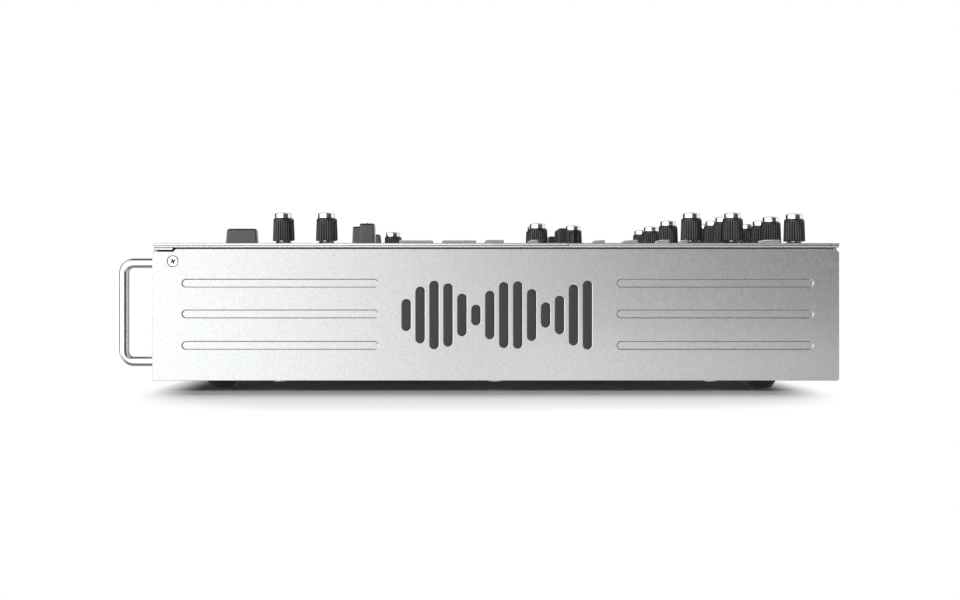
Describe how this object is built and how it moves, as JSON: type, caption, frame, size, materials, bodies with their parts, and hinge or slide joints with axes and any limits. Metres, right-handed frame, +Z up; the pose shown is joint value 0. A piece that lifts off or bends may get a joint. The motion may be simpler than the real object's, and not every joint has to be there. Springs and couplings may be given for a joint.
{
  "type": "dj mixer",
  "caption": "Table-top DJ mixer: flat silver case with carry handles, fluted knobs, faders, pads and effect paddles.",
  "frame": {"origin": "on the table, under the middle of the whole machine with its handles and sockets", "axes": "+Z up, +Y towards the rear panel with the sockets, +X towards the player's right"},
  "size_m": [0.27, 0.414, 0.1012],
  "materials": {
    "side_metal": "silver metallic paint with a fine sparkle",
    "plate_metal": "satin anodised faceplate",
    "chassis_metal": "silver painted sheet steel",
    "dark_sheet": "black powder coat",
    "handle_steel": "bright steel",
    "foot_rubber": "moulded black rubber",
    "screw_steel": "zinc plated",
    "board_green": "solder resist",
    "control_case": "pressed steel case",
    "socket_mix": "moulded black with plated contacts",
    "inlet_black": "moulded black",
    "knob_black": "fluted satin black with a bright metal cap",
    "fader_black": "moulded satin black",
    "paddle_black": "moulded satin black",
    "pad_white": "translucent silicone",
    "button_white": "translucent plastic"
  },
  "bodies": {
    "root": {"base_plate": "dark_sheet", "right_side_panel": "side_metal", "left_side_panel": "side_metal", "front_panel": "chassis_metal", "rear_panel": "chassis_metal", "top_chassis": "chassis_metal", "front_faceplate": "plate_metal", "rear_faceplate": "plate_metal", "carry_handles": "handle_steel", "rubber_feet": "foot_rubber", "case_screws": "screw_steel", "circuit_boards": "board_green", "control_bodies": "control_case", "fader_modules": "control_case", "audio_sockets": "socket_mix", "power_inlet": "inlet_black"},
    "power_switch": {"power_switch": "inlet_black"},
    "phones_mix_knob": {"phones_mix_knob": "knob_black"},
    "phones_level_knob": {"phones_level_knob": "knob_black"},
    "mic_level_knob": {"mic_level_knob": "knob_black"},
    "mic_tone_knob": {"mic_tone_knob": "knob_black"},
    "booth_level_knob": {"booth_level_knob": "knob_black"},
    "right_low_knob": {"right_low_knob": "knob_black"},
    "right_mid_knob": {"right_mid_knob": "knob_black"},
    "right_high_knob": {"right_high_knob": "knob_black"},
    "left_low_knob": {"left_low_knob": "knob_black"},
    "left_mid_knob": {"left_mid_knob": "knob_black"},
    "left_high_knob": {"left_high_knob": "knob_black"},
    "right_filter_knob": {"right_filter_knob": "knob_black"},
    "right_trim_knob": {"right_trim_knob": "knob_black"},
    "left_filter_knob": {"left_filter_knob": "knob_black"},
    "master_level_knob": {"master_level_knob": "knob_black"},
    "effect_depth_knob": {"effect_depth_knob": "knob_black"},
    "beat_encoder": {"beat_encoder": "knob_black"},
    "select_encoder": {"select_encoder": "knob_black"},
    "browse_encoder": {"browse_encoder": "knob_black"},
    "crossfader_cap": {"crossfader_cap": "fader_black"},
    "cue_pan_fader_cap": {"cue_pan_fader_cap": "fader_black"},
    "right_fader_cap": {"right_fader_cap": "fader_black"},
    "left_fader_cap": {"left_fader_cap": "fader_black"},
    "right_effect_paddle": {"right_effect_paddle": "paddle_black"},
    "left_effect_paddle": {"left_effect_paddle": "paddle_black"},
    "right_front_pad_1": {"right_front_pad_1": "pad_white"},
    "right_rear_pad_1": {"right_rear_pad_1": "pad_white"},
    "right_front_pad_2": {"right_front_pad_2": "pad_white"},
    "right_rear_pad_2": {"right_rear_pad_2": "pad_white"},
    "right_front_pad_3": {"right_front_pad_3": "pad_white"},
    "right_rear_pad_3": {"right_rear_pad_3": "pad_white"},
    "right_front_pad_4": {"right_front_pad_4": "pad_white"},
    "right_rear_pad_4": {"right_rear_pad_4": "pad_white"},
    "left_front_pad_1": {"left_front_pad_1": "pad_white"},
    "left_rear_pad_1": {"left_rear_pad_1": "pad_white"},
    "left_front_pad_2": {"left_front_pad_2": "pad_white"},
    "left_rear_pad_2": {"left_rear_pad_2": "pad_white"},
    "left_front_pad_3": {"left_front_pad_3": "pad_white"},
    "left_rear_pad_3": {"left_rear_pad_3": "pad_white"},
    "left_front_pad_4": {"left_front_pad_4": "pad_white"},
    "left_rear_pad_4": {"left_rear_pad_4": "pad_white"},
    "mode_buttons": {"mode_buttons": "button_white"},
    "side_buttons": {"side_buttons": "button_white"}
  },
  "joints": [
    {"name": "power_switch_rock", "type": "hinge", "parent": "root", "child": "power_switch", "pos_m": [-0.1, 0.19575, 0.058], "axis": [0, 0, 1], "range_deg": [0, 6]},
    {"name": "phones_mix_knob_turn", "type": "hinge", "parent": "root", "child": "phones_mix_knob", "pos_m": [0.107, -0.11525, 0.0828], "axis": [0, 0, 1], "range_deg": [-150, 150]},
    {"name": "phones_level_knob_turn", "type": "hinge", "parent": "root", "child": "phones_level_knob", "pos_m": [0.107, -0.09035, 0.0828], "axis": [0, 0, 1], "range_deg": [-150, 150]},
    {"name": "mic_level_knob_turn", "type": "hinge", "parent": "root", "child": "mic_level_knob", "pos_m": [0.107, 0.12055, 0.0828], "axis": [0, 0, 1], "range_deg": [-150, 150]},
    {"name": "mic_tone_knob_turn", "type": "hinge", "parent": "root", "child": "mic_tone_knob", "pos_m": [0.107, 0.14435, 0.0828], "axis": [0, 0, 1], "range_deg": [-150, 150]},
    {"name": "booth_level_knob_turn", "type": "hinge", "parent": "root", "child": "booth_level_knob", "pos_m": [0.098, 0.18215, 0.0828], "axis": [0, 0, 1], "range_deg": [-150, 150]},
    {"name": "right_low_knob_turn", "type": "hinge", "parent": "root", "child": "right_low_knob", "pos_m": [0.02, 0.12045, 0.0828], "axis": [0, 0, 1], "range_deg": [-150, 150]},
    {"name": "right_mid_knob_turn", "type": "hinge", "parent": "root", "child": "right_mid_knob", "pos_m": [0.02, 0.14915, 0.0828], "axis": [0, 0, 1], "range_deg": [-150, 150]},
    {"name": "right_high_knob_turn", "type": "hinge", "parent": "root", "child": "right_high_knob", "pos_m": [0.02, 0.17925, 0.0828], "axis": [0, 0, 1], "range_deg": [-150, 150]},
    {"name": "left_low_knob_turn", "type": "hinge", "parent": "root", "child": "left_low_knob", "pos_m": [-0.02, 0.12655, 0.0828], "axis": [0, 0, 1], "range_deg": [-150, 150]},
    {"name": "left_mid_knob_turn", "type": "hinge", "parent": "root", "child": "left_mid_knob", "pos_m": [-0.02, 0.15025, 0.0828], "axis": [0, 0, 1], "range_deg": [-150, 150]},
    {"name": "left_high_knob_turn", "type": "hinge", "parent": "root", "child": "left_high_knob", "pos_m": [-0.02, 0.17865, 0.0828], "axis": [0, 0, 1], "range_deg": [-150, 150]},
    {"name": "right_filter_knob_turn", "type": "hinge", "parent": "root", "child": "right_filter_knob", "pos_m": [0.064, 0.14725, 0.0828], "axis": [0, 0, 1], "range_deg": [-150, 150]},
    {"name": "right_trim_knob_turn", "type": "hinge", "parent": "root", "child": "right_trim_knob", "pos_m": [0.066, 0.17555, 0.0828], "axis": [0, 0, 1], "range_deg": [-150, 150]},
    {"name": "left_filter_knob_turn", "type": "hinge", "parent": "root", "child": "left_filter_knob", "pos_m": [-0.056, 0.12045, 0.0828], "axis": [0, 0, 1], "range_deg": [-150, 150]},
    {"name": "master_level_knob_turn", "type": "hinge", "parent": "root", "child": "master_level_knob", "pos_m": [-0.107, 0.12065, 0.0828], "axis": [0, 0, 1], "range_deg": [-150, 150]},
    {"name": "effect_depth_knob_turn", "type": "hinge", "parent": "root", "child": "effect_depth_knob", "pos_m": [-0.041, 0.06555, 0.0828], "axis": [0, 0, 1], "range_deg": [-60, 240]},
    {"name": "beat_encoder_turn", "type": "hinge", "parent": "root", "child": "beat_encoder", "pos_m": [0.034, 0.03645, 0.0828], "axis": [0, 0, 1], "continuous": true},
    {"name": "select_encoder_turn", "type": "hinge", "parent": "root", "child": "select_encoder", "pos_m": [0, 0.03705, 0.0828], "axis": [0, 0, 1], "continuous": true},
    {"name": "browse_encoder_turn", "type": "hinge", "parent": "root", "child": "browse_encoder", "pos_m": [-0.086, -0.05805, 0.0828], "axis": [0, 0, 1], "continuous": true},
    {"name": "crossfader_cap_slide", "type": "slide", "parent": "root", "child": "crossfader_cap", "axis": [1, 0, 0], "range_m": [-0.0225, 0.0225]},
    {"name": "cue_pan_fader_cap_slide", "type": "slide", "parent": "root", "child": "cue_pan_fader_cap", "axis": [1, 0, 0], "range_m": [-0.015, 0.015]},
    {"name": "right_fader_cap_slide", "type": "slide", "parent": "root", "child": "right_fader_cap", "axis": [0, 1, 0], "range_m": [-0.03, 0.015]},
    {"name": "left_fader_cap_slide", "type": "slide", "parent": "root", "child": "left_fader_cap", "axis": [0, 1, 0], "range_m": [-0.0232, 0.0218]},
    {"name": "right_effect_paddle_tilt", "type": "hinge", "parent": "root", "child": "right_effect_paddle", "pos_m": [0.057, 0.04975, 0.0778], "axis": [1, 0, 0], "range_deg": [-10, 10], "stiffness_Nm_per_rad": 0.08},
    {"name": "left_effect_paddle_tilt", "type": "hinge", "parent": "root", "child": "left_effect_paddle", "pos_m": [-0.057, 0.05225, 0.0778], "axis": [1, 0, 0], "range_deg": [-10, 10], "stiffness_Nm_per_rad": 0.08},
    {"name": "right_front_pad_1_press", "type": "slide", "parent": "root", "child": "right_front_pad_1", "axis": [0, 0, -1], "range_m": [0, 0.0012], "stiffness_N_per_m": 800, "springref_m": -0.001},
    {"name": "right_rear_pad_1_press", "type": "slide", "parent": "root", "child": "right_rear_pad_1", "axis": [0, 0, -1], "range_m": [0, 0.0012], "stiffness_N_per_m": 800, "springref_m": -0.001},
    {"name": "right_front_pad_2_press", "type": "slide", "parent": "root", "child": "right_front_pad_2", "axis": [0, 0, -1], "range_m": [0, 0.0012], "stiffness_N_per_m": 800, "springref_m": -0.001},
    {"name": "right_rear_pad_2_press", "type": "slide", "parent": "root", "child": "right_rear_pad_2", "axis": [0, 0, -1], "range_m": [0, 0.0012], "stiffness_N_per_m": 800, "springref_m": -0.001},
    {"name": "right_front_pad_3_press", "type": "slide", "parent": "root", "child": "right_front_pad_3", "axis": [0, 0, -1], "range_m": [0, 0.0012], "stiffness_N_per_m": 800, "springref_m": -0.001},
    {"name": "right_rear_pad_3_press", "type": "slide", "parent": "root", "child": "right_rear_pad_3", "axis": [0, 0, -1], "range_m": [0, 0.0012], "stiffness_N_per_m": 800, "springref_m": -0.001},
    {"name": "right_front_pad_4_press", "type": "slide", "parent": "root", "child": "right_front_pad_4", "axis": [0, 0, -1], "range_m": [0, 0.0012], "stiffness_N_per_m": 800, "springref_m": -0.001},
    {"name": "right_rear_pad_4_press", "type": "slide", "parent": "root", "child": "right_rear_pad_4", "axis": [0, 0, -1], "range_m": [0, 0.0012], "stiffness_N_per_m": 800, "springref_m": -0.001},
    {"name": "left_front_pad_1_press", "type": "slide", "parent": "root", "child": "left_front_pad_1", "axis": [0, 0, -1], "range_m": [0, 0.0012], "stiffness_N_per_m": 800, "springref_m": -0.001},
    {"name": "left_rear_pad_1_press", "type": "slide", "parent": "root", "child": "left_rear_pad_1", "axis": [0, 0, -1], "range_m": [0, 0.0012], "stiffness_N_per_m": 800, "springref_m": -0.001},
    {"name": "left_front_pad_2_press", "type": "slide", "parent": "root", "child": "left_front_pad_2", "axis": [0, 0, -1], "range_m": [0, 0.0012], "stiffness_N_per_m": 800, "springref_m": -0.001},
    {"name": "left_rear_pad_2_press", "type": "slide", "parent": "root", "child": "left_rear_pad_2", "axis": [0, 0, -1], "range_m": [0, 0.0012], "stiffness_N_per_m": 800, "springref_m": -0.001},
    {"name": "left_front_pad_3_press", "type": "slide", "parent": "root", "child": "left_front_pad_3", "axis": [0, 0, -1], "range_m": [0, 0.0012], "stiffness_N_per_m": 800, "springref_m": -0.001},
    {"name": "left_rear_pad_3_press", "type": "slide", "parent": "root", "child": "left_rear_pad_3", "axis": [0, 0, -1], "range_m": [0, 0.0012], "stiffness_N_per_m": 800, "springref_m": -0.001},
    {"name": "left_front_pad_4_press", "type": "slide", "parent": "root", "child": "left_front_pad_4", "axis": [0, 0, -1], "range_m": [0, 0.0012], "stiffness_N_per_m": 800, "springref_m": -0.001},
    {"name": "left_rear_pad_4_press", "type": "slide", "parent": "root", "child": "left_rear_pad_4", "axis": [0, 0, -1], "range_m": [0, 0.0012], "stiffness_N_per_m": 800, "springref_m": -0.001},
    {"name": "mode_buttons_press", "type": "slide", "parent": "root", "child": "mode_buttons", "axis": [0, 0, -1], "range_m": [0, 0.0008], "stiffness_N_per_m": 800, "springref_m": -0.001},
    {"name": "side_buttons_press", "type": "slide", "parent": "root", "child": "side_buttons", "axis": [0, 0, -1], "range_m": [0, 0.0008], "stiffness_N_per_m": 800, "springref_m": -0.001}
  ]
}
